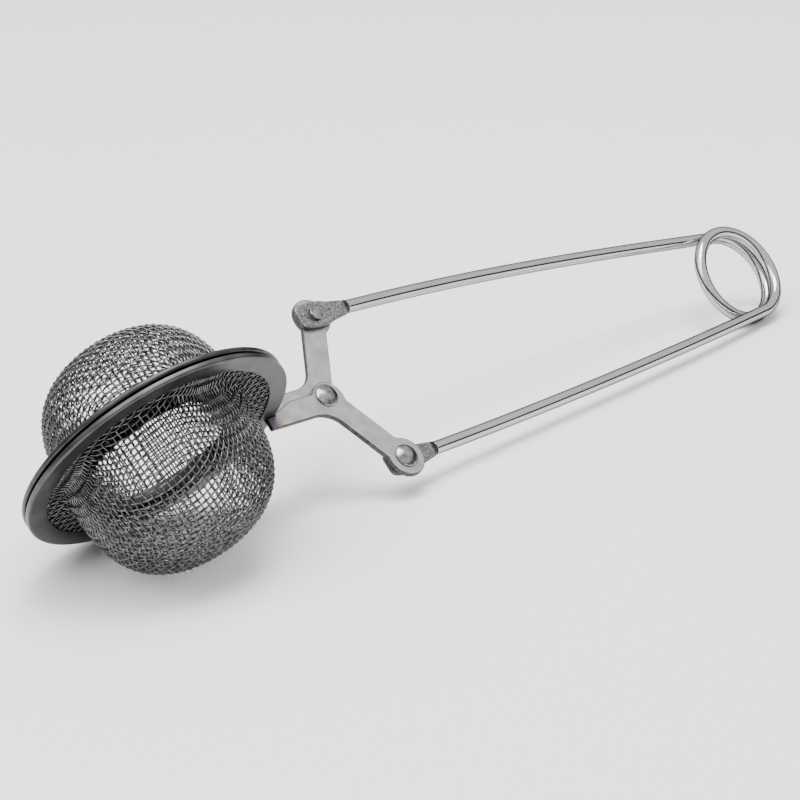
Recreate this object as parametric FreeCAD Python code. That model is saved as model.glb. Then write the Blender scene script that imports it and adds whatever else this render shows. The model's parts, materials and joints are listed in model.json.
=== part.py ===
"""Squeeze-handled mesh-ball tea infuser.

Every part is built in the tool frame: origin on the centre rivet, X toward the spring
coil, Y out of the upper bowl, Z along the hinge pins. One placement then lays the
tool down on its lower bowl, rim edge and coil, which is the row frame (Z up).
The tool nearly repeats itself when turned half a turn about X, so the upper bowl, rim,
lever and rivet are made like the lower ones and turned over.
"""
import FreeCAD, Part
import math
import os

V = FreeCAD.Vector

# ---- driving dimensions, mm ------------------------------------------------
BALL_X = -37.8            # centre of the ball, from the centre rivet
BALL_TWIST = -5.1         # deg, rim plane turned about the tool's length from the pins
RIM_R = 25.0              # outer radius of both rims
RIM_BORE_R = 21.4         # inner edge of the flat rim
RIM_FACE = {"lower": 0.05, "upper": -0.38}    # mating face, measured out of the other half
RIM_THICK = {"lower": 1.12, "upper": 0.95}    # one rim, two folded layers
RIM_LAYER = 0.27          # sheet of one folded layer
FOLD_R = 23.75            # inside of the fold
COLLAR_R = 16.1           # collar in the lower bowl's mouth, carried in from its rim
COLLAR_TOP = 0.7
COLLAR_FOOT = -1.65
BRIM_R = 22.95            # mesh brim, held inside the folded rim
BOWL_SHIFT = {"lower": -0.4, "upper": 0.7}    # bowl off the rim's centre, toward the coil
BOWL_R = 16.85            # bowl wall at its mouth
BOWL_DEPTH = {"lower": 19.8, "upper": 19.5}   # rim plane to pole
BOWL_POWER = 2.75         # how boxy the bowl is: 2 is an ellipse
BOWL_FILLET = 1.6         # brim to wall
MESH_THICK = 0.38         # woven wire, two wires at a crossing

SHEET = 1.0               # lever sheet
LEVER_GAP = 0.03          # each lever off the mid-plane
LUG = {"upper": (7.9, 15.95), "lower": (8.95, 15.45)}      # handle pivots, off the tool's axis
ARM_AIM = {"upper": (8.0, 15.7), "lower": (8.55, 15.7)}   # where an arm's centre line ends
LUG_R = 3.8
ARM_WIDTH = 4.9
BOSS_R = 3.35
TONGUE_X = -14.6          # end of the lever under the rim

SHANK_R = 1.2             # rivets
HEAD_R = 2.25
HEAD_H = 0.95
TAIL_R = 1.32
TAIL_H = 0.8
RUN = 0.05                # running clearance of a rivet in the wire's eye
PLAY = 0.5                # centre rivet in the upper lever, see the report

WIRE_R = 1.25
COIL_X = 117.0
COIL_R = 9.6              # centreline radius of the coil
COIL_PITCH = 2.62
COIL_TILT = 8.4           # deg, about the tool's length, so the wires run straight
COIL_TURNS = 1.5
FLAT_THICK = 0.9          # hammered eye of the wire
FLAT_HALF = [(-3.7, 1.75), (-3.1, 2.15), (-1.0, 2.6), (0.6, 2.65), (2.4, 2.45), (4.2, 1.95)]
FLAT_LEN = {"upper": 7.65, "lower": 7.8}
LEG_SLOPE = {"upper": (-0.4, -6.4), "lower": (-1.5, -4.9)}   # deg at the eye and at the coil

REST_ROLL = 42.64         # deg, about the tool's length
REST_PITCH = 4.11         # deg, coil end down

X, Y, Z = V(1, 0, 0), V(0, 1, 0), V(0, 0, 1)
HALF_TURN = FreeCAD.Placement(V(0, 0, 0), FreeCAD.Rotation(X, 180))


def turned_over(shape):
    """The same part for the other half of the tool."""
    other = shape.copy()
    other.Placement = HALF_TURN.multiply(other.Placement)
    return other


def revolved(points, shift=0):
    """Closed profile of (radius, height) points, turned about the ball's shifted axis."""
    centre = BALL_X + shift
    wire = Part.makePolygon([V(centre + r, y, 0) for r, y in points + points[:1]])
    solid = Part.Face(wire).revolve(V(centre, 0, 0), Y, 360)
    solid.rotate(V(0, 0, 0), X, BALL_TWIST)
    return solid


def rim(side):
    """Rim as on the lower half: folded over its outer edge; the lower one has a collar."""
    top = RIM_FACE[side]
    bottom = top - RIM_THICK[side]
    mid = (top + bottom) / 2
    bead = RIM_THICK[side] / 2
    edge = [(RIM_R - bead + bead * math.cos(t), mid + bead * math.sin(t))
            for t in [math.radians(-90 + 15 * i) for i in range(13)]]
    inner = [(RIM_BORE_R, top), (RIM_BORE_R, top - RIM_LAYER)]
    if side == "lower":
        inside = COLLAR_R - RIM_LAYER
        inner = [(COLLAR_R, top), (COLLAR_R, COLLAR_TOP), (inside, COLLAR_TOP),
                 (inside, COLLAR_FOOT), (COLLAR_R, COLLAR_FOOT), (COLLAR_R, top - RIM_LAYER)]
    slot = [(FOLD_R, top - RIM_LAYER), (FOLD_R, bottom + RIM_LAYER),
            (RIM_BORE_R, bottom + RIM_LAYER)]
    return revolved([(RIM_BORE_R, bottom)] + edge + inner + slot)


def bowl(side):
    """Bowl as on the lower half: flat brim, rounded shoulder, boxy dome, one thin skin."""
    mid = RIM_FACE[side] - RIM_THICK[side] + RIM_LAYER + MESH_THICK / 2 + 0.02
    start = mid - BOWL_FILLET
    depth = BOWL_DEPTH[side] + start
    line = [(BRIM_R, mid, 0, -1)]
    for i in range(7):
        t = math.radians(15 * i)
        line.append((BOWL_R + BOWL_FILLET * (1 - math.sin(t)),
                     start + BOWL_FILLET * math.cos(t), math.sin(t), -math.cos(t)))
    for i in range(1, 25):
        t = math.radians(90 * i / 24)
        power = 2 / BOWL_POWER
        c, s = math.cos(t), math.sin(t)
        nr, ny = c ** (2 - power), s ** (2 - power) * BOWL_R / depth
        size = math.hypot(nr, ny)
        line.append((BOWL_R * max(c, 0) ** power, start - depth * s ** power,
                     nr / size, -ny / size))
    half = MESH_THICK / 2
    outer = [(r + half * nr, y + half * ny) for r, y, nr, ny in line[:-1]]
    inner = [(r - half * nr, y - half * ny) for r, y, nr, ny in line[:-1]]
    outer.append((0, -BOWL_DEPTH[side] - half))
    inner.append((0, -BOWL_DEPTH[side] + half))
    return revolved(outer + inner[::-1], BOWL_SHIFT[side])


def rounded_outline(corners):
    """Closed wire through (x, y, radius) corners, each rounded by its radius."""
    edges, first, last = [], None, None
    count = len(corners)
    for i in range(count):
        x, y, r = corners[i]
        here = V(x, y, 0)
        back = (V(*corners[i - 1][:2], 0) - here).normalize()
        ahead = (V(*corners[(i + 1) % count][:2], 0) - here).normalize()
        half = back.getAngle(ahead) / 2
        reach = r / math.tan(half)
        start, end = here + back * reach, here + ahead * reach
        middle = here + (back + ahead).normalize() * (r / math.sin(half) - r)
        if last is not None:
            edges.append(Part.makeLine(last, start))
        first = first or start
        edges.append(Part.Arc(start, middle, end).toShape())
        last = end
    edges.append(Part.makeLine(last, first))
    return Part.Wire(edges)


def plate(corners, low, thick):
    face = Part.Face(rounded_outline(corners))
    solid = face.extrude(V(0, 0, thick))
    solid.translate(V(0, 0, low))
    return solid


def round_uprights(solid, places):
    """Round the upright edges nearest to each (x, y), by its radius."""
    for x, y, r in places:
        uprights = [e for e in solid.Edges if isinstance(e.Curve, Part.Line)
                    and abs(e.tangentAt(e.FirstParameter).z) > 0.999]
        nearest = min(uprights, key=lambda e: math.hypot(e.CenterOfMass.x - x,
                                                         e.CenterOfMass.y - y))
        solid = solid.makeFillet(r, [nearest])
    return solid


def lever(side, hole_r, ring):
    """Lower lever: tongue welded under the ring, boss at the centre rivet, arm, lug."""
    lug_x, lug_y = LUG[side]
    aim = V(ARM_AIM[side][0], -ARM_AIM[side][1], 0)
    length = aim.Length
    along = V(aim.x + 0.4, aim.y - 0.2, 0).normalize()
    across = V(-along.y, along.x, 0) * (ARM_WIDTH / 2)
    far, near = aim - across, aim + across
    neck = near - along * (length - 3.0)
    bend_y = -3.2
    bend_x = far.x + along.x * (bend_y - far.y) / along.y
    under_rim = RIM_FACE[side] - RIM_THICK[side] + 0.1
    corners = [(TONGUE_X, bend_y, 0.35), (bend_x, bend_y, 5.3), (far.x, far.y, 0.2),
               (near.x, near.y, 0.2), (neck.x, neck.y, 0.3), (-2.2, 1.05, 0.2),
               (-7.9, 1.05, 2.2), (-12.3, -0.4, 0.3), (-12.6, under_rim, 0.15),
               (TONGUE_X, under_rim, 0.25)]
    body = plate(corners, LEVER_GAP, SHEET)
    boss = Part.makeCylinder(BOSS_R, SHEET, V(0.3, -0.6, LEVER_GAP))
    eye = Part.makeCylinder(LUG_R, SHEET, V(lug_x, -lug_y, LEVER_GAP))
    body = body.fuse([boss, eye]).removeSplitter()
    body = round_uprights(body, [(3.6, -3.2, 1.6), (-3.1, 1.05, 0.7),
                                 (aim.x + 1.4, aim.y + 3.7, 1.5), (aim.x - 3.6, aim.y + 1.4, 0.3)])
    holes = [Part.makeCylinder(hole_r, 4, V(0, 0, -1)),
             Part.makeCylinder(SHANK_R, 4, V(lug_x, -lug_y, -1))]
    return body.cut(holes[0]).cut(holes[1]).cut(ring).Solids[0]


def rivet(x, y, back, tail_r, tail_h):
    """Domed head on the front face, shank, plain tail behind the plane z = back."""
    face = LEVER_GAP + SHEET
    dome_r = (HEAD_R ** 2 + (HEAD_H - 0.25) ** 2) / (2 * (HEAD_H - 0.25))
    dome = [(0, face + HEAD_H)]
    for i in range(1, 9):
        r = HEAD_R * i / 8
        dome.append((r, face + HEAD_H - dome_r + math.sqrt(dome_r ** 2 - r ** 2)))
    profile = dome + [(HEAD_R, face), (SHANK_R, face), (SHANK_R, back - 0.02),
                      (tail_r, back - 0.02), (tail_r, back - tail_h + 0.15),
                      (tail_r - 0.2, back - tail_h), (0, back - tail_h)]
    wire = Part.makePolygon([V(x + r, y, z) for r, z in profile + profile[:1]])
    return Part.Face(wire).revolve(V(x, y, 0), Z, 360)


def helix_point(turn):
    """Coil centreline, 'turn' radians on from its back end at the top."""
    a, b = math.radians(LEG_SLOPE["upper"][1]), math.radians(LEG_SLOPE["lower"][1])
    sweep = COIL_TURNS * 2 * math.pi + a + b
    angle = math.pi / 2 + a - turn
    z = COIL_PITCH * (turn - sweep / 2) / (2 * math.pi)
    point = V(COIL_X + COIL_R * math.cos(angle), COIL_R * math.sin(angle), z)
    return FreeCAD.Rotation(X, COIL_TILT).multVec(point), sweep


def swept(curve):
    start = curve.value(curve.FirstParameter)
    tangent = curve.tangent(curve.FirstParameter)[0]
    ring = Part.Wire(Part.Circle(start, tangent, WIRE_R).toShape())
    return Part.Wire(curve.toShape()).makePipeShell([ring], True, False)


def spring_coil():
    sweep = helix_point(0)[1]
    height = COIL_PITCH * sweep / (2 * math.pi)
    helix = Part.makeHelix(COIL_PITCH, height, COIL_R, 0, True)
    helix.translate(V(0, 0, -height / 2))
    helix.rotate(V(0, 0, 0), Z, 90 + LEG_SLOPE["upper"][1])
    helix.translate(V(COIL_X, 0, 0))
    helix.rotate(V(0, 0, 0), X, COIL_TILT)
    first = helix.Edges[0]
    ring = Part.Circle(first.valueAt(first.FirstParameter),
                       first.tangentAt(first.FirstParameter), WIRE_R)
    return Part.Wire(helix).makePipeShell([Part.Wire(ring.toShape())], True, True)


def coil_end(side):
    """Where the straight wire meets the coil, as if on the upper side, and its direction."""
    sweep = helix_point(0)[1]
    nudge = sweep / 2000
    if side == "upper":
        point = helix_point(0)[0]
        return point, (helix_point(nudge)[0] - point).normalize()
    point = HALF_TURN.multVec(helix_point(sweep)[0])
    return point, (HALF_TURN.multVec(helix_point(sweep - nudge)[0]) - point).normalize()


def handle_leg(side):
    """Upper handle wire: hammered eye in front of the lever, then round wire."""
    low = LEVER_GAP
    mid = low + FLAT_THICK / 2
    slope = math.radians(LEG_SLOPE[side][0])
    end = FLAT_LEN[side]
    half = FLAT_HALF + [((end + 4.2) / 2, 1.65), (end + 0.3, 1.25)]
    side_up = Part.BSplineCurve()
    side_up.interpolate([V(x, y, 0) for x, y in half])
    side_down = Part.BSplineCurve()
    side_down.interpolate([V(x, -y, 0) for x, y in half])
    ends = [Part.makeLine(V(half[i][0], -half[i][1], 0), V(half[i][0], half[i][1], 0))
            for i in (0, -1)]
    outline = Part.Wire(Part.__sortEdges__([side_up.toShape(), ends[0], side_down.toShape(),
                                            ends[1]]))
    flat = Part.Face(outline).extrude(V(0, 0, FLAT_THICK))
    flat.rotate(V(0, 0, 0), Z, math.degrees(slope))
    lug = V(*LUG[side], 0)
    flat.translate(lug + V(0, 0, low))
    start = lug + V(end * math.cos(slope), end * math.sin(slope), mid)
    stop, direction = coil_end(side)
    reach = start.distanceToPoint(stop)
    first = V(math.cos(slope), math.sin(slope), 0) * reach
    last = direction * reach
    points = []
    for i in range(13):
        t = i / 12
        points.append(start * (2 * t ** 3 - 3 * t ** 2 + 1) + first * (t ** 3 - 2 * t ** 2 + t)
                      + stop * (3 * t ** 2 - 2 * t ** 3) + last * (t ** 3 - t ** 2))
    curve = Part.BSplineCurve()
    curve.interpolate(Points=points, InitialTangent=first * (1 / reach), FinalTangent=direction)
    leg = swept(curve).fuse(flat).removeSplitter()
    return leg.cut(Part.makeCylinder(SHANK_R + RUN, 4, lug - Z)).Solids[0]


def lay_down(parts):
    """Row frame: roll onto the lower bowl, pitch the coil down, centre over the origin."""
    roll = FreeCAD.Rotation(X, REST_ROLL)
    pitch = FreeCAD.Rotation(Y, REST_PITCH)
    turn = FreeCAD.Placement(V(0, 0, 0), pitch.multiply(roll))
    for shape in parts.values():
        shape.Placement = turn.multiply(shape.Placement)
    box = Part.makeCompound(list(parts.values())).optimalBoundingBox(True, True)
    shift = V(-(box.XMin + box.XMax) / 2, -(box.YMin + box.YMax) / 2, -box.ZMin)
    for shape in parts.values():
        shape.translate(shift)
    return FreeCAD.Placement(shift, turn.Rotation)


def main():
    eye_back = -LEVER_GAP - FLAT_THICK
    parts = {"lower_mesh_bowl": bowl("lower"), "lower_rim": rim("lower")}
    parts["upper_mesh_bowl"] = turned_over(bowl("upper"))
    parts["upper_rim"] = turned_over(rim("upper"))
    parts["lower_lever"] = lever("lower", SHANK_R, rim("lower"))
    parts["upper_lever"] = turned_over(lever("upper", SHANK_R + PLAY, rim("upper")))
    rivets = {side: rivet(x, -y, eye_back, TAIL_R, TAIL_H) for side, (x, y) in LUG.items()}
    parts["lower_lug_rivet"] = rivets["lower"]
    parts["upper_lug_rivet"] = turned_over(rivets["upper"])
    parts["centre_rivet"] = rivet(0, 0, -LEVER_GAP - SHEET, HEAD_R, 0.6)
    parts["spring_coil"] = spring_coil()
    parts["upper_handle_leg"] = handle_leg("upper")
    parts["lower_handle_leg"] = turned_over(handle_leg("lower"))
    place = lay_down(parts)
    os.makedirs("parts", exist_ok=True)
    for name, shape in parts.items():
        shape.exportStep("parts/" + name + ".step")
        print(name, shape.ShapeType, shape.isValid(), len(shape.Solids),
              round(shape.Volume, 1))
    print("placement", [round(v, 5) for v in place.toMatrix().A])


main()
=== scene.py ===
import json
import math
import bmesh
import bpy
import numpy as np
from mathutils import Matrix, Vector


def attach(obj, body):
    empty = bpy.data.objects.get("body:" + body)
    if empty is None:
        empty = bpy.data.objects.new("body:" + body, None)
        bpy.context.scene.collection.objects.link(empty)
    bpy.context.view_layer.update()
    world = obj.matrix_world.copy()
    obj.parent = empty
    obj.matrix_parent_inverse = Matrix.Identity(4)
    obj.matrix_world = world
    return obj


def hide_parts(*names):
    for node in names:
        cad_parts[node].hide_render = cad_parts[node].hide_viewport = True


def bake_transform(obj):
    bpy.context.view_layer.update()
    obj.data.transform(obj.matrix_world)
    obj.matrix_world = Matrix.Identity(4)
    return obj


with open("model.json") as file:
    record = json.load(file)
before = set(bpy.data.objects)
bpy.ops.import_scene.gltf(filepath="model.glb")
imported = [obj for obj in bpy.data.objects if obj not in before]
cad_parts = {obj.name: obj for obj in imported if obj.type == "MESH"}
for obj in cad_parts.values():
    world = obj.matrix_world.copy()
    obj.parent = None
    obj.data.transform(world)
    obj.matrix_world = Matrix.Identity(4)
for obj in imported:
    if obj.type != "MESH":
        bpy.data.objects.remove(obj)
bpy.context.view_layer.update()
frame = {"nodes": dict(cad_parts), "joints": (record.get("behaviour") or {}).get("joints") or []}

# Sizes are in millimetres in the tool's own axes: origin on the centre rivet, X toward
# the coil, Y out of the upper bowl, Z along the pins. placed() takes them to the row frame.
MM = 0.001
FLIP = np.array([1.0, -1.0, -1.0])       # half a turn about X: lower half to upper half
CLEAR = 0.02              # keeps two faces from lying in one plane

# levers
LUG = {"upper": np.array([7.9, 15.95, 0.0]), "lower": np.array([8.95, 15.45, 0.0])}
SHEET = 1.0
GAP = 0.03                # each lever off the mid-plane
LEVER_BEVEL = 0.18

# ball
BALL = np.array([-37.8, 0.0, 0.0])
BALL_TWIST = math.radians(-5.1)
RIM_R, RIM_BORE_R, FOLD_R, RIM_LAYER, RIM_CORNER = 25.0, 21.4, 23.75, 0.27, 0.36
RIM_FACE = {"lower": 0.05, "upper": -0.38}    # mating face, measured out of the other half
RIM_THICK = {"lower": 1.12, "upper": 0.95}
RIM_STEPS = 192
GROOVE = 0.6              # depth of the fold's groove, which holds the brim of the mesh
FLAT_LINES = (0.25, 0.9, 1.6)            # in from the fold: keep its rounding off the flats
COLLAR_R, COLLAR_TOP, COLLAR_FOOT, COLLAR_FILLET = 16.1, 0.7, -1.65, 0.33
BRIM_R = 22.95
BRIM_LIFT = 0.21          # middle of the mesh above the inner face of the rim's outer layer
BOWL_R, BOWL_POWER, BOWL_FILLET = 16.85, 2.75, 1.6
BOWL_DEPTH = {"lower": 19.8, "upper": 19.5}
BOWL_SHIFT = {"lower": (-0.4, 0, 0), "upper": (0.7, 0, 0)}    # off the rim's centre
LINE_STEP = 0.04          # between the points of the bowl's line
MESH_PITCH = 1.1
MESH_WIRE_R = 0.155
MESH_WIRE_SIDES = 6
CRIMP = MESH_WIRE_R * 1.05
WEAVE_TURN = {"lower": math.radians(-43.5), "upper": math.radians(41)}

# weld beads: along X from WELD_X, under the rim
WELD_X, WELD_LENGTH, WELD_SINK = -14.5, 1.7, 0.12
WELD_STEPS, WELD_SIDES, WELD_SEED = 22, 14, 7
WELD_R, WELD_SWELL, WELD_ROUGH = 0.24, 0.13, 0.012
HEAT_SPOT = (-14.3, -2.3, 0.5)

# rivets
SHANK_R, HEAD_R, HEAD_H, TAIL_R, TAIL_H = 1.2, 2.25, 0.95, 1.32, 0.8
CENTRE_TAIL_H = 0.6
HEAD_EDGE_H, HEAD_ROUND, HEAD_ROUND_H, TAIL_ROUND = 0.25, 0.12, 0.14, 0.25
RIVET_STEPS = 64
RUN = 0.05                # running fit of an eye on its rivet

# handle wire
WIRE_R = 1.25
COIL_X, COIL_R, COIL_PITCH, COIL_TURNS = 117.0, 9.6, 2.62, 1.5
COIL_TILT = math.radians(8.4)
COIL_STEPS, COIL_SIDES = 150, 48
EYE_THICK = 0.9
EYE_HALF = [(-3.7, 1.75), (-3.1, 2.15), (-1.0, 2.6), (0.6, 2.65), (2.4, 2.45), (4.2, 1.95)]
EYE_LENGTH = {"upper": 7.65, "lower": 7.8}
EYE_STEP, EYE_SIDES = 0.11, 88
EYE_TIP, EYE_TIP_LOSS = 0.35, 0.16       # length of the rounded tip, and what it loses
KNURL_PITCH, KNURL_DEPTH = 0.5, 0.085
KNURL_FADE, KNURL_MARGIN = 0.8, 0.3      # before the neck, and along the sides
DRILL_STEPS, DRILL_Z = 48, (-2.5, 2.5)
NECK_HALF = (1.68, 1.38)  # half widths halfway down the neck and where the eye ends
SHOULDER = 0.2            # length over which the flat eye turns into round wire
LEG_SLOPE = {"upper": (-0.4, -6.4), "lower": (-1.5, -4.9)}   # deg at the eye and the coil
COIL_START = math.radians(LEG_SLOPE["upper"][1])
COIL_SWEEP = COIL_TURNS * 2 * math.pi + COIL_START + math.radians(LEG_SLOPE["lower"][1])

# heat tint, camera, floor and lamps, in metres
HEAT_REACH, HEAT_WANDER = (0.0012, 0.0046), 0.0015
CAMERA_AT = Vector((-0.2966, -0.2978, 0.1794))
CAMERA_AIM = Vector((-0.0290, -0.0159, 0.0205))
CAMERA_ROLL = math.radians(2.23)
LENS = 109.0

FLOOR_HALF = 3.0
FLOOR_LIGHT_POOL = (0.45, 0.95)                # distances from the origin over which the floor's painted pool of light fades to grey
# name, place, aim, size, power
SOFTBOXES = (("key", (-0.45, 0.05, 0.75), (0, 0, 0.02), (0.6, 0.6), 4.5),
             ("top", (0.05, 0.0, 0.9), (0, 0, 0.02), (0.5, 0.5), 9.0))

# Looks of the steels: darkest and lightest tone, least and most roughness, scale of the
# clouds. See steel() for the rest.
STEELS = {
    "woven_mesh": dict(dark=(0.045, 0.045, 0.047), light=(0.22, 0.218, 0.215),
                       rough=(0.20, 0.32), grain=1100, edge=0.5),
    # The rims' steel is painted far darker than the levers' sheet steel: painted shade of the
    # rims' undersides. The upper rim is a still darker copy, painted deeper shade.
    "lower_rim_shade_steel": dict(dark=(0.06, 0.06, 0.065), light=(0.105, 0.105, 0.11),
                            rough=(0.30, 0.42), grain=260, bump=0.06),
    "upper_rim_shade_steel": dict(dark=(0.04, 0.04, 0.042), light=(0.075, 0.075, 0.078),
                            rough=(0.30, 0.42), grain=260, bump=0.06),
    # Near-black copy of the rim steel for the collar and the bore: painted shade.
    "bore_shade_steel": dict(dark=(0.02, 0.02, 0.021), light=(0.05, 0.05, 0.052),
                         rough=(0.30, 0.40), grain=260, bump=0.06),
    # Dark steel for the weld beads, and for the sides and bevels of levers and eyes, where it is
    # a painted dark outline: painted shade.
    "weld_and_edge_shade_steel": dict(dark=(0.045, 0.044, 0.043), light=(0.13, 0.127, 0.124),
                           rough=(0.40, 0.55), grain=1500, bump=0.3),
    "knurled_steel": dict(dark=(0.05, 0.049, 0.048), light=(0.36, 0.355, 0.35),
                          rough=(0.28, 0.42), grain=2600, bump=0.5, bump_grain=6000),
    "rivet_steel": dict(dark=(0.10, 0.10, 0.10), light=(0.40, 0.40, 0.40),
                        rough=(0.20, 0.32), grain=1100, bump=0.3, bump_grain=1600, edge=0.1),
    "spring_wire": dict(dark=(0.42, 0.412, 0.408), light=(0.52, 0.511, 0.507),
                        rough=(0.07, 0.15), grain=1600, bump=0.03, drawn=30.0, edge=0.1),
}
LEVER_STEEL = dict(dark=(0.36, 0.345, 0.335), light=(0.50, 0.485, 0.475),
                   rough=(0.34, 0.48), grain=420, bump=0.12)


# ---- tool axes ---------------------------------------------------------------
def tool_axes():
    """Origin and axes of the tool in the row frame, from the joints."""
    at = {j["name"]: np.array(j["pos_m"]) for j in frame["joints"]}
    z = np.array(frame["joints"][0]["axis"])
    z /= np.linalg.norm(z)
    along = at["coil_flex"] - (at["lower_lug_pivot"] + at["upper_lug_pivot"]) / 2
    along /= np.linalg.norm(along)
    middle = (LUG["upper"] + LUG["lower"] * FLIP) / 2
    lean = math.atan2(-middle[1], COIL_X - middle[0])
    x = math.cos(lean) * along - math.sin(lean) * np.cross(z, along)
    return at["coil_flex"] - x * COIL_X * MM, np.array([x, np.cross(z, x), z])


ORIGIN, AXES = tool_axes()


def placed(points, upper=False):
    """Tool millimetres, as on the lower half, to row metres."""
    points = np.asarray(points, float)
    if upper:
        points = points * FLIP
    return points @ AXES * MM + ORIGIN


def ball_axes(points):
    """Points about the ball's centre, Y along its axis, to tool millimetres."""
    x, y, z = np.asarray(points, float).T
    c, s = math.cos(BALL_TWIST), math.sin(BALL_TWIST)
    return np.stack([x, y * c - z * s, y * s + z * c], axis=1) + BALL


# ---- meshes ------------------------------------------------------------------
def linked(name, data):
    """A new object of the scene."""
    thing = bpy.data.objects.new(name, data)
    bpy.context.scene.collection.objects.link(thing)
    return thing


def new_piece(name, points, faces, material, smooth_angle=None):
    """A smooth mesh; edges sharper than smooth_angle, in degrees, stay sharp."""
    mesh = bpy.data.meshes.new(name)
    mesh.from_pydata([tuple(p) for p in points], [], [tuple(f) for f in faces])
    mesh.update()
    mesh.shade_smooth()
    if smooth_angle:
        mesh.set_sharp_from_angle(angle=math.radians(smooth_angle))
    mesh.materials.append(material)
    return linked(name, mesh)


def fixed(piece, body, node):
    """The piece rides on a body and stands for a CAD node, if one is named."""
    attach(piece, body)
    if node:
        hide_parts(node)
    return piece


def grid_faces(rows, columns, start=0, close_rows=False):
    """Quads of a grid of points whose columns run round a closed ring."""
    faces = []
    for i in range(rows if close_rows else rows - 1):
        here, there = start + i * columns, start + (i + 1) % rows * columns
        for j in range(columns):
            k = (j + 1) % columns
            faces.append((here + j, here + k, there + k, there + j))
    return faces


def turned(profile, count):
    """Closed (radius, height) outline turned about Y: points and faces."""
    angles = np.arange(count) * 2 * math.pi / count
    points = [(r * math.cos(a), h, r * math.sin(a)) for a in angles for r, h in profile]
    return np.array(points), grid_faces(count, len(profile), close_rows=True)


def capped_tube(rings, start=0):
    """Points and faces of a closed tube through equal rings."""
    rings = np.asarray(rings)
    count, sides = rings.shape[:2]
    faces = grid_faces(count, sides, start)
    faces.append(tuple(range(start + sides - 1, start - 1, -1)))
    last = start + (count - 1) * sides
    faces.append(tuple(range(last, last + sides)))
    return rings.reshape(-1, 3), faces


def many_tubes(tubes):
    """Points and faces of several closed tubes."""
    points, faces, count = [], [], 0
    for rings in tubes:
        tube_points, tube_faces = capped_tube(rings, count)
        points.append(tube_points)
        faces.extend(tube_faces)
        count += len(tube_points)
    return np.vstack(points), faces


def round_tube(line, radius, sides):
    """Rings of a round tube along a line."""
    tangent = np.gradient(line, axis=0)
    tangent /= np.linalg.norm(tangent, axis=1)[:, None]
    side = np.cross(tangent[0], [0.31, 0.87, 0.38])
    rings = []
    for p, t in zip(line, tangent):
        side = side - t * (side @ t)
        side /= np.linalg.norm(side)
        other = np.cross(t, side)
        rings.append([p + radius * (math.cos(a) * side + math.sin(a) * other)
                      for a in np.arange(sides) * 2 * math.pi / sides])
    return np.array(rings)


def outward(piece):
    """Face normals all pointing out."""
    shape = bmesh.new()
    shape.from_mesh(piece.data)
    bmesh.ops.recalc_face_normals(shape, faces=shape.faces)
    shape.to_mesh(piece.data)
    shape.free()


def arc(centre, radius, first, last, steps):
    """Points of an arc between two angles in degrees."""
    angles = np.radians(np.linspace(first, last, steps))
    return [(centre[0] + radius * math.cos(a), centre[1] + radius * math.sin(a)) for a in angles]


# ---- rims --------------------------------------------------------------------
def rim_profile(side):
    """(radius, height) outline of the folded ring: rounded fold outside, sheet edge at the
    bore under the mesh, and over it another edge, or the collar of the lower rim."""
    top = RIM_FACE[side]
    bottom = top - RIM_THICK[side]
    bead = RIM_CORNER
    lip = RIM_LAYER / 2
    groove = [(FOLD_R - GROOVE, top - RIM_LAYER), (FOLD_R, top - RIM_LAYER),
              (FOLD_R, bottom + RIM_LAYER), (FOLD_R - GROOVE, bottom + RIM_LAYER)]
    outside = (arc((RIM_R - bead, bottom + bead), bead, -90, 0, 8)
               + arc((RIM_R - bead, top - bead), bead, 0, 90, 8))
    flat_under = [(RIM_R - bead - d, bottom) for d in reversed(FLAT_LINES)]
    flat_over = [(RIM_R - bead - d, top) for d in FLAT_LINES]
    upper_lip = arc((RIM_BORE_R + lip, top - lip), lip, 90, 270, 7)
    if side == "lower":
        middle = COLLAR_R - lip
        upper_lip = ([(COLLAR_R, top)] + arc((middle, COLLAR_TOP - lip), lip, 0, 180, 9)
                     + arc((middle, COLLAR_FOOT + lip), lip, 180, 360, 9)
                     + arc((COLLAR_R + COLLAR_FILLET, top - RIM_LAYER - COLLAR_FILLET),
                           COLLAR_FILLET, 180, 90, 8))
    lower_lip = arc((RIM_BORE_R + lip, bottom + lip), lip, 90, 270, 7)
    return flat_under + outside + flat_over + upper_lip + groove + lower_lip


def make_rim(side, material, bore_shade_material):
    """The ring, with a near-black copy of its steel on all that lies inside its bore: painted
    shade of the collar and bore.
    """
    points, faces = turned(rim_profile(side), RIM_STEPS)
    piece = new_piece(side + "_rim_ring", placed(ball_axes(points), side == "upper"), faces,
                      material, 50)
    piece.data.materials.append(bore_shade_material)
    # faces inside the bore take the near-black steel: painted shade
    for face, corners in zip(piece.data.polygons, faces):
        x, _, z = points[list(corners)].mean(axis=0)
        face.material_index = 1 if math.hypot(x, z) < RIM_BORE_R - 0.05 else 0
    return fixed(piece, side + "_half", side + "_rim")


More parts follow.
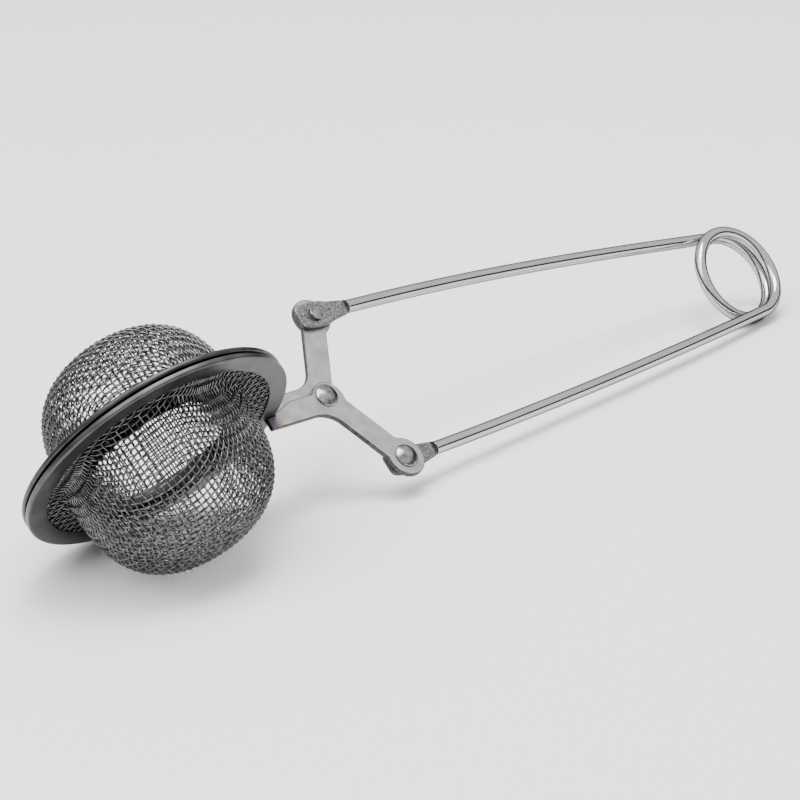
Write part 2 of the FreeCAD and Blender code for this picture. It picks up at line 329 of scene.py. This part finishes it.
# ---- woven bowls -------------------------------------------------------------
def bowl_line(side):
    """Fine (radius, height) line from the bowl's pole up its wall and out along the brim:
    its length so far, its points and its outward normals."""
    mid = RIM_FACE[side] - RIM_THICK[side] + RIM_LAYER + BRIM_LIFT
    start = mid - BOWL_FILLET
    depth = BOWL_DEPTH[side] + start
    t = np.linspace(math.pi / 2, 0, 900)
    power = 2 / BOWL_POWER
    dome = np.stack([BOWL_R * np.cos(t).clip(0) ** power,
                     start - depth * np.sin(t) ** power], axis=1)
    t = np.linspace(math.pi, math.pi / 2, 60)[1:]
    shoulder = np.stack([BOWL_R + BOWL_FILLET * (1 + np.cos(t)),
                         start + BOWL_FILLET * np.sin(t)], axis=1)
    brim = np.stack([np.linspace(BOWL_R + BOWL_FILLET, BRIM_R + 3, 150)[1:],
                     np.full(149, mid)], axis=1)
    line = np.vstack([dome, shoulder, brim])
    run = np.concatenate([[0], np.cumsum(np.linalg.norm(np.diff(line, axis=0), axis=1))])
    even = np.arange(0, run[-1], LINE_STEP)
    line = np.stack([np.interp(even, run, column) for column in line.T], axis=1)
    slope = np.gradient(line, axis=0)
    slope /= np.linalg.norm(slope, axis=1)[:, None]
    return even, line, np.stack([slope[:, 1], -slope[:, 0]], axis=1)


def on_bowl(p, bowl):
    """Nearest point of the bowl and its outward normal."""
    _, line, normal = bowl
    around = math.hypot(p[0], p[2]) or 1e-9
    k = int(np.argmin((line[:, 0] - around) ** 2 + (line[:, 1] - p[1]) ** 2))
    (r, h), (nr, nh) = line[k], normal[k]
    off = (around - r) * nr + (p[1] - h) * nh
    r, h = around - off * nr, p[1] - off * nh
    c, s = p[0] / around, p[2] / around
    return np.array([r * c, h, r * s]), np.array([nr * c, nh, nr * s])


def next_knot(a, b, corner, bowl):
    """The crossing one pitch from both a and b, away from corner."""
    p = a + b - corner
    for _ in range(10):
        p = on_bowl(p, bowl)[0]
        for q in (a, b):
            d = p - q
            p = p + d * (0.5 * (MESH_PITCH / np.linalg.norm(d) - 1))
    return on_bowl(p, bowl)[0]


def net_quarter(bowl):
    """Crossings of the pressed square weave over a quarter of the bowl, by (i, j)."""
    knots = {}
    run, line, _ = bowl
    last = int(run[-1] / MESH_PITCH)
    for i in range(last):
        r, h = line[int(round(i * MESH_PITCH / LINE_STEP))]
        knots[i, 0] = np.array([r, h, 0.0])
        knots[0, i] = np.array([0.0, h, r])
    for i in range(1, last):
        for j in range(1, last):
            if (i - 1, j) in knots and (i, j - 1) in knots:
                p = next_knot(knots[i - 1, j], knots[i, j - 1], knots[i - 1, j - 1], bowl)
                if math.hypot(p[0], p[2]) < BRIM_R + 2:
                    knots[i, j] = p
    return knots


def woven_wires(bowl):
    """Crimped wires as lists of points: each passes over and under the ones it crosses."""
    knots = net_quarter(bowl)
    last = max(i for i, j in knots)
    whole = {}
    for (i, j), p in knots.items():
        for si, sj in ((1, 1), (-1, 1), (1, -1), (-1, -1)):
            whole[si * i, sj * j] = p * np.array([si, 1.0, sj])
    wires = []
    for along in (0, 1):
        for row in range(-last, last + 1):
            wire = []
            for step in range(-last, last + 1):
                key = (step, row) if along else (row, step)
                if key not in whole:
                    continue
                p, normal = on_bowl(whole[key], bowl)
                over = 1 if (step + row + along) % 2 else -1
                point = p + normal * (over * CRIMP)
                if wire:
                    wire.append(on_bowl((wire[-1] + point) / 2, bowl)[0])
                wire.append(point)
            wire = [p for p in wire if math.hypot(p[0], p[2]) < BRIM_R - 0.1]
            if len(wire) > 4:
                wires.append(np.array(wire))
    return wires


def make_bowl(side, material):
    """The bowl as woven wires, its weave turned about the bowl's axis."""
    c, s = math.cos(WEAVE_TURN[side]), math.sin(WEAVE_TURN[side])
    turn = np.array([[c, 0, -s], [0, 1, 0], [s, 0, c]])
    lines = [wire @ turn + BOWL_SHIFT[side] for wire in woven_wires(bowl_line(side))]
    points, faces = many_tubes(round_tube(line, MESH_WIRE_R, MESH_WIRE_SIDES) for line in lines)
    piece = new_piece(side + "_woven_bowl", placed(ball_axes(points), side == "upper"), faces,
                      material)
    return fixed(piece, side + "_half", side + "_mesh_bowl")


# ---- levers and rivets -------------------------------------------------------
def make_lever(side, face_steel, edge_shade_steel):
    """The stamped lever with its sharp edges broken, and its sides and bevels in dark steel: a
    painted shade that draws a dark outline.
    """
    mesh = frame["nodes"][side + "_lever"].data.copy()
    mesh.materials.clear()
    mesh.materials.append(face_steel)
    mesh.materials.append(edge_shade_steel)
    shape = bmesh.new()
    shape.from_mesh(mesh)
    bmesh.ops.remove_doubles(shape, verts=shape.verts, dist=1e-6)
    bmesh.ops.dissolve_limit(shape, angle_limit=math.radians(1), verts=shape.verts,
                             edges=shape.edges)
    for face in shape.faces:
        # side faces take the dark steel: painted shade along the edges
        face.material_index = 0 if abs(face.normal @ Vector(AXES[2])) > 0.9 else 1
    shape.to_mesh(mesh)
    shape.free()
    piece = linked(side + "_stamped_lever", mesh)
    bevel = piece.modifiers.new("edges", "BEVEL")
    bevel.width = LEVER_BEVEL * MM
    bevel.segments = 3
    bevel.use_clamp_overlap = False
    bevel.limit_method = "ANGLE"
    bevel.angle_limit = math.radians(40)
    # the bevels take the dark steel too: painted shade
    bevel.material = 1
    mesh.shade_smooth()
    piece.modifiers.new("faces", "WEIGHTED_NORMAL").keep_sharp = True
    return fixed(piece, side + "_half", side + "_lever")


def make_weld(side, material):
    """Two uneven beads of weld where the tongue lies under its rim."""
    random = np.random.default_rng(WELD_SEED)
    height = RIM_FACE[side] - RIM_THICK[side] - WELD_SINK
    t = np.linspace(0, 1, WELD_STEPS)
    taper = np.sqrt(np.clip(1.02 - (2 * t - 1) ** 4, 0.02, 1))
    beads = []
    for z in (GAP - CLEAR, GAP + SHEET + CLEAR):
        line = np.stack([WELD_X + WELD_LENGTH * t, np.full(WELD_STEPS, height),
                         np.full(WELD_STEPS, z)], axis=1)
        swell = np.convolve(random.random(WELD_STEPS + 2), np.ones(3) / 3, "valid")
        radius = (WELD_R + WELD_SWELL * swell) * taper
        rings = round_tube(line, 1.0, WELD_SIDES)
        rings = line[:, None] + (rings - line[:, None]) * radius[:, None, None]
        beads.append(rings + random.normal(0, WELD_ROUGH, rings.shape))
    points, faces = many_tubes(beads)
    piece = new_piece(side + "_weld_beads", placed(points, side == "upper"), faces, material)
    return fixed(piece, side + "_half", None)


def rivet_profile(back, tail_r, tail_h):
    """Half section of a rivet, (radius, height) with the domed head up."""
    face = GAP + SHEET
    rise = HEAD_H - HEAD_EDGE_H
    dome_r = (HEAD_R ** 2 + rise ** 2) / (2 * rise)
    reach = math.degrees(math.asin(HEAD_R / dome_r))
    dome = arc((0, face + HEAD_H - dome_r), dome_r, 90, 90 - reach * 0.97, 14)
    edge = arc((HEAD_R - HEAD_ROUND, face + HEAD_ROUND_H), HEAD_ROUND, 40, -80, 6)
    tail = arc((tail_r - TAIL_ROUND, back - tail_h + TAIL_ROUND), TAIL_ROUND, 0, -90, 6)
    return (dome + edge + [(SHANK_R, face), (SHANK_R, back - CLEAR), (tail_r, back - CLEAR)]
            + tail + [(0.0, back - tail_h)])


def make_rivet(name, body, centre, profile, material, upper=False):
    """The profile turned about the pin's axis; its first and last points are the poles."""
    count = RIVET_STEPS
    points, faces = [], []
    inner = profile[1:-1]
    size = len(inner)
    for a in np.arange(count) * 2 * math.pi / count:
        points += [(centre[0] + r * math.cos(a), centre[1] + r * math.sin(a), h)
                   for r, h in inner]
    for i in range(count):
        k = (i + 1) % count
        for j in range(size - 1):
            faces.append((i * size + j, k * size + j, k * size + j + 1, i * size + j + 1))
        faces.append((i * size, count * size, k * size))
        faces.append((i * size + size - 1, k * size + size - 1, count * size + 1))
    points += [(centre[0], centre[1], profile[0][1]), (centre[0], centre[1], profile[-1][1])]
    piece = new_piece(name + "_turned", placed(points, upper), faces, material, 35)
    return fixed(piece, body, name)


# ---- handle wire -------------------------------------------------------------
def coil_point(turn):
    """Coil centreline, 'turn' radians on from its end at the upper leg."""
    angle = math.pi / 2 + COIL_START - turn
    y = COIL_R * math.sin(angle)
    z = COIL_PITCH * (turn - COIL_SWEEP / 2) / (2 * math.pi)
    c, s = math.cos(COIL_TILT), math.sin(COIL_TILT)
    return np.array([COIL_X + COIL_R * math.cos(angle), y * c - z * s, y * s + z * c])


def coil_join(side):
    """Where a leg meets the coil, seen as if on the upper side, and its direction there."""
    at, near = (0, 0.002) if side == "upper" else (COIL_SWEEP, COIL_SWEEP - 0.002)
    point, ahead = coil_point(at), coil_point(near)
    if side == "lower":
        point, ahead = point * FLIP, ahead * FLIP
    return point, (ahead - point) / np.linalg.norm(ahead - point)


def smooth_between(a, slope_a, b, slope_b, t):
    """Cubic from a to b as t goes from 0 to 1, with the given slopes at its ends."""
    return (a * (2 * t ** 3 - 3 * t ** 2 + 1) + slope_a * (t ** 3 - 2 * t ** 2 + t)
            + b * (3 * t ** 2 - 2 * t ** 3) + slope_b * (t ** 3 - t ** 2))


def slope_between(a, slope_a, b, slope_b, t):
    """Slope of smooth_between at t."""
    return (a * (6 * t ** 2 - 6 * t) + slope_a * (3 * t ** 2 - 4 * t + 1)
            + b * (6 * t - 6 * t ** 2) + slope_b * (3 * t ** 2 - 2 * t))


def through(table, x):
    """Smooth value at x through a table of (x, value) rows."""
    xs, ys = np.array(table).T
    slopes = np.gradient(ys, xs)
    k = int(np.clip(np.searchsorted(xs, x) - 1, 0, len(xs) - 2))
    w = xs[k + 1] - xs[k]
    t = min(max((x - xs[k]) / w, 0), 1)
    return smooth_between(ys[k], slopes[k] * w, ys[k + 1], slopes[k + 1] * w, t)


def knurl(x, y):
    """Height of the pressed diamond pattern, 0 to 1."""
    u, v = (x + y) / KNURL_PITCH, (x - y) / KNURL_PITCH
    groove = min(abs(u - round(u)), abs(v - round(v))) * 2
    return min(groove * 2.2, 1.0)


def leg_section(half_wide, half_high, square, sides):
    """Ring of (across, up) points, round for square = 2 and boxy for more."""
    ring = []
    for k in range(sides):
        a = 2 * math.pi * (k + 0.5) / sides
        c, s = math.cos(a), math.sin(a)
        reach = (abs(c) ** square + abs(s) ** square) ** (-1 / square)
        ring.append((half_wide * c * reach, half_high * s * reach))
    return ring


def eye_ring(u, end):
    """(across, up) ring of the hammered eye at u from the rivet; 'end' is where it ends."""
    table = EYE_HALF + [((end + EYE_HALF[-1][0]) / 2, NECK_HALF[0]), (end, NECK_HALF[1])]
    wide = through(table, u)
    blunt = min((u - EYE_HALF[0][0]) / EYE_TIP, 1)
    round_off = 1 - EYE_TIP_LOSS * (1 - blunt) ** 2
    ring = leg_section(wide * round_off, EYE_THICK / 2 * round_off, 9, EYE_SIDES)
    fade = min(max((end - u) / KNURL_FADE, 0), 1) * blunt
    out = []
    for across, up in ring:
        if abs(across) < wide - KNURL_MARGIN:
            up -= math.copysign(KNURL_DEPTH * fade * (1 - knurl(u, across)), up)
        out.append((across, up))
    return out


def leg_rings(side):
    """Rings of a whole leg, as if on the upper side: eye, shoulder, round wire."""
    end = EYE_LENGTH[side]
    tilt = math.radians(LEG_SLOPE[side][0])
    mid = GAP + EYE_THICK / 2
    ahead = np.array([math.cos(tilt), math.sin(tilt), 0])
    up = np.array([0, 0, 1.0])
    rings = []
    side_way = np.cross(up, ahead)
    for u in np.arange(EYE_HALF[0][0], end + 0.01, EYE_STEP):
        centre = LUG[side] + ahead * u + up * mid
        rings.append([centre + side_way * a + up * b for a, b in eye_ring(u, end)])
    start = LUG[side] + ahead * end + up * mid
    stop, direction = coil_join(side)
    reach = np.linalg.norm(stop - start)
    course = (start, ahead * reach, stop, direction * reach)
    steps = np.concatenate([[0.06, 0.13, 0.2, 0.5, 0.9], np.linspace(1.5, reach, 70)]) / reach
    for t in steps:
        p = smooth_between(*course, t)
        d = slope_between(*course, t)
        d /= np.linalg.norm(d)
        side_way = np.cross(up, d)
        side_way /= np.linalg.norm(side_way)
        grow = min(t * reach / SHOULDER, 1)
        high = EYE_THICK / 2 + (WIRE_R - EYE_THICK / 2) * math.sin(grow * math.pi / 2)
        wide = NECK_HALF[1] + (WIRE_R - NECK_HALF[1]) * grow
        ring = leg_section(wide, high, 2 + 3 * (1 - grow), EYE_SIDES)
        rings.append([p + side_way * a + np.cross(d, side_way) * b for a, b in ring])
    return rings


def cut_hole(piece, centre, radius, upper):
    """A round hole along the pins, right through the piece."""
    angles = np.arange(DRILL_STEPS) * 2 * math.pi / DRILL_STEPS
    rings = [[(centre[0] + radius * math.cos(a), centre[1] + radius * math.sin(a), z)
              for a in angles] for z in DRILL_Z]
    points, faces = capped_tube(rings)
    drill = new_piece("drill", placed(points, upper), faces, piece.data.materials[0])
    outward(drill)
    cut = piece.modifiers.new("hole", "BOOLEAN")
    cut.operation = "DIFFERENCE"
    cut.object = drill
    bpy.context.view_layer.update()
    whole = piece.evaluated_get(bpy.context.evaluated_depsgraph_get())
    mesh = bpy.data.meshes.new_from_object(whole)
    piece.modifiers.remove(cut)
    piece.data = mesh
    mesh.set_sharp_from_angle(angle=math.radians(40))
    bpy.data.objects.remove(drill)


def make_leg(side, wire_steel, eye_steel, edge_shade_steel):
    """A leg with its eye: cross-hatched flats, sides in dark steel as painted shade, drawn wire.
    """
    points, faces = capped_tube(leg_rings(side))
    turned_over = side == "lower"
    piece = new_piece(side + "_handle_wire", placed(points, turned_over), faces, wire_steel)
    piece.data.materials.append(eye_steel)
    piece.data.materials.append(edge_shade_steel)
    outward(piece)
    shoulder = LUG[side][0] + EYE_LENGTH[side]
    for face in piece.data.polygons:
        x = float((np.array(face.center) - ORIGIN) @ AXES[0]) / MM
        flat = abs(face.normal @ Vector(AXES[2])) > 0.5
        # the eye's sides, and the shoulder's faces that look back at the eye, take the dark
        # steel: painted shade
        if x < shoulder + 0.05:
            face.material_index = 1 if flat else 2
        elif x < shoulder + 0.4 and face.normal @ Vector(AXES[0]) < -0.3:
            face.material_index = 2
    cut_hole(piece, LUG[side], SHANK_R + RUN, turned_over)
    return fixed(piece, side + "_leg", side + "_handle_leg")


def make_coil(material):
    """The coil, one fixed mesh in place of the CAD coil; the real coil bends from one leg to the
    other as the handle is squeezed.
    """
    line = np.array([coil_point(t) for t in np.linspace(0, COIL_SWEEP, COIL_STEPS)])
    points, faces = capped_tube(round_tube(line, WIRE_R, COIL_SIDES))
    piece = new_piece("coil_wire", placed(points), faces, material, 50)
    outward(piece)
    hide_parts("spring_coil")
    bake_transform(piece)
    return piece


# ---- materials ---------------------------------------------------------------
def colour_ramp(nodes, *stops):
    """A colour ramp through (position, colour) stops in rising order."""
    node = nodes.new("ShaderNodeValToRGB")
    elements = node.color_ramp.elements
    elements[0].position = stops[0][0]
    elements[1].position = stops[-1][0]
    for position, _ in stops[1:-1]:
        elements.new(position)
    for element, (_, colour) in zip(elements, stops):
        element.color = (*colour, 1)
    return node


def steel(name, dark, light, rough, grain=700.0, bump=0.0, bump_grain=2500.0, weld=None,
          drawn=1.0, edge=1.0):
    """Stainless steel with cloudy tone and roughness, a fine surface bump and weld tint.
    Drawn wire has its clouds pulled out along X, the tool's length. An edge below 1 dims
    glancing gloss, which draws a dark line round the wire."""
    material = bpy.data.materials.new(name)
    material.use_nodes = True
    nodes, links = material.node_tree.nodes, material.node_tree.links
    shader = nodes["Principled BSDF"]
    shader.inputs["Metallic"].default_value = 1.0
    shader.inputs["Specular Tint"].default_value = (edge, edge, edge, 1)
    place = nodes.new("ShaderNodeTexCoord")
    noise = nodes.new("ShaderNodeTexNoise")
    noise.inputs["Scale"].default_value = grain
    noise.inputs["Detail"].default_value = 6
    pull = nodes.new("ShaderNodeMapping")
    pull.inputs["Scale"].default_value = (1 / drawn, 1, 1)
    links.new(place.outputs["Object"], pull.inputs["Vector"])
    links.new(pull.outputs["Vector"], noise.inputs["Vector"])
    tone = colour_ramp(nodes, (0.3, dark), (0.7, light))
    links.new(noise.outputs["Fac"], tone.inputs["Fac"])
    colour = tone.outputs["Color"]
    if weld is not None:
        colour = heat_tint(nodes, links, place, noise, colour, weld)
    links.new(colour, shader.inputs["Base Color"])
    gloss = nodes.new("ShaderNodeMapRange")
    gloss.inputs["To Min"].default_value = rough[0]
    gloss.inputs["To Max"].default_value = rough[1]
    links.new(noise.outputs["Fac"], gloss.inputs["Value"])
    links.new(gloss.outputs["Result"], shader.inputs["Roughness"])
    if bump:
        fine = nodes.new("ShaderNodeTexNoise")
        fine.inputs["Scale"].default_value = bump_grain
        fine.inputs["Detail"].default_value = 3
        links.new(place.outputs["Object"], fine.inputs["Vector"])
        relief = nodes.new("ShaderNodeBump")
        relief.inputs["Strength"].default_value = bump
        relief.inputs["Distance"].default_value = 0.0001
        links.new(fine.outputs["Fac"], relief.inputs["Height"])
        links.new(relief.outputs["Normal"], shader.inputs["Normal"])
    return material


def heat_tint(nodes, links, place, noise, colour, weld):
    """Blue, purple and straw oxide colours in uneven bands around a weld."""
    far = nodes.new("ShaderNodeVectorMath")
    far.operation = "DISTANCE"
    far.inputs[1].default_value = weld
    links.new(place.outputs["Object"], far.inputs[0])
    wander = nodes.new("ShaderNodeMath")
    wander.operation = "MULTIPLY_ADD"
    wander.inputs[1].default_value = HEAT_WANDER
    links.new(noise.outputs["Fac"], wander.inputs[0])
    links.new(far.outputs["Value"], wander.inputs[2])
    reach = nodes.new("ShaderNodeMapRange")
    reach.inputs["From Min"].default_value = HEAT_REACH[0]
    reach.inputs["From Max"].default_value = HEAT_REACH[1]
    links.new(wander.outputs["Value"], reach.inputs["Value"])
    bands = colour_ramp(nodes, (0.0, (0.12, 0.11, 0.14)), (0.25, (0.30, 0.30, 0.44)),
                        (0.42, (0.60, 0.50, 0.60)), (0.62, (0.92, 0.80, 0.66)),
                        (1.0, (1.0, 1.0, 1.0)))
    links.new(reach.outputs["Result"], bands.inputs["Fac"])
    mix = nodes.new("ShaderNodeMix")
    mix.data_type = "RGBA"
    mix.blend_type = "MULTIPLY"
    mix.inputs["Factor"].default_value = 1.0
    links.new(colour, mix.inputs["A"])
    links.new(bands.outputs["Color"], mix.inputs["B"])
    return mix.outputs["Result"]


def floor_material():
    """Pale around the tool and greyer far away, a painted pool of light round the tool, which
    gives the steel something to reflect.
    """
    material = bpy.data.materials.new("pale_floor")
    material.use_nodes = True
    nodes, links = material.node_tree.nodes, material.node_tree.links
    shader = nodes["Principled BSDF"]
    shader.inputs["Roughness"].default_value = 0.7
    noise = nodes.new("ShaderNodeTexNoise")
    noise.inputs["Scale"].default_value = 30
    tone = colour_ramp(nodes, (0.0, (0.94, 0.94, 0.942)), (1.0, (0.97, 0.97, 0.97)))
    links.new(noise.outputs["Fac"], tone.inputs["Fac"])
    place = nodes.new("ShaderNodeTexCoord")
    away = nodes.new("ShaderNodeVectorMath")
    away.operation = "LENGTH"
    links.new(place.outputs["Object"], away.inputs[0])
    # painted pool of light: pale near the origin, grey beyond
    fade = nodes.new("ShaderNodeMapRange")
    fade.inputs["From Min"].default_value = FLOOR_LIGHT_POOL[0]
    fade.inputs["From Max"].default_value = FLOOR_LIGHT_POOL[1]
    links.new(away.outputs["Value"], fade.inputs["Value"])
    mix = nodes.new("ShaderNodeMix")
    mix.data_type = "RGBA"
    mix.inputs["B"].default_value = (0.42, 0.42, 0.424, 1)
    links.new(fade.outputs["Result"], mix.inputs["Factor"])
    links.new(tone.outputs["Color"], mix.inputs["A"])
    links.new(mix.outputs["Result"], shader.inputs["Base Color"])
    return material


# ---- stage -------------------------------------------------------------------
def make_floor():
    """A plain square, which is not part of the object."""
    far = FLOOR_HALF
    corners = [(-far, -far, 0), (far, -far, 0), (far, far, 0), (-far, far, 0)]
    floor = new_piece("floor", corners, [(0, 1, 2, 3)], floor_material())


def softbox(name, place, aim, size, power):
    """A square area lamp aimed at a point."""
    lamp = bpy.data.lights.new(name, "AREA")
    lamp.shape = "RECTANGLE"
    lamp.size, lamp.size_y = size
    lamp.energy = power
    light = linked(name, lamp)
    light.location = place
    light.rotation_euler = (Vector(aim) - Vector(place)).to_track_quat("-Z", "Y").to_euler()


def make_camera():
    """The photograph's point of view, with its slight roll."""
    lens = bpy.data.cameras.new("camera")
    lens.lens = LENS
    lens.sensor_width = 36
    lens.clip_start = 0.01
    camera = linked("camera", lens)
    look = (CAMERA_AIM - CAMERA_AT).to_track_quat("-Z", "Y").to_matrix()
    camera.matrix_world = (Matrix.Translation(CAMERA_AT)
                           @ (look @ Matrix.Rotation(-CAMERA_ROLL, 3, "Z")).to_4x4())
    bpy.context.scene.camera = camera


def make_world():
    """Soft studio surround: bright above, dark below and along the horizon."""
    world = bpy.data.worlds.new("studio")
    bpy.context.scene.world = world
    world.use_nodes = True
    nodes, links = world.node_tree.nodes, world.node_tree.links
    place = nodes.new("ShaderNodeTexCoord")
    split = nodes.new("ShaderNodeSeparateXYZ")
    tones = colour_ramp(nodes, (0.25, (0.04, 0.04, 0.042)), (0.40, (0.95, 0.95, 0.955)),
                        (1.0, (1.0, 1.0, 1.0)))
    links.new(place.outputs["Generated"], split.inputs["Vector"])
    links.new(split.outputs["Z"], tones.inputs["Fac"])
    links.new(tones.outputs["Color"], nodes["Background"].inputs["Color"])
    nodes["Background"].inputs["Strength"].default_value = 1.4


def main():
    steels = {name: steel(name, **look) for name, look in STEELS.items()}
    for side in ("lower", "upper"):
        upper = side == "upper"
        spot = placed([HEAT_SPOT], upper)[0]
        lever_steel = steel(side + "_lever_steel", weld=tuple(spot), **LEVER_STEEL)
        make_bowl(side, steels["woven_mesh"])
        # each rim takes a copy of one steel painted darker, near-black inside the bore: painted
        # shade
        make_rim(side, steels[side + "_rim_shade_steel"], steels["bore_shade_steel"])
        make_lever(side, lever_steel, steels["weld_and_edge_shade_steel"])
        make_weld(side, steels["weld_and_edge_shade_steel"])
        make_leg(side, steels["spring_wire"], steels["knurled_steel"], steels["weld_and_edge_shade_steel"])
        make_rivet(side + "_lug_rivet", side + "_half", LUG[side] * (1, -1, 1),
                   rivet_profile(-GAP - EYE_THICK, TAIL_R, TAIL_H), steels["rivet_steel"], upper)
    make_rivet("centre_rivet", "lower_half", (0, 0),
               rivet_profile(-GAP - SHEET, HEAD_R, CENTRE_TAIL_H), steels["rivet_steel"])
    make_coil(steels["spring_wire"])
    make_floor()
    make_world()
    make_camera()
    for box in SOFTBOXES:
        softbox(*box)


main()
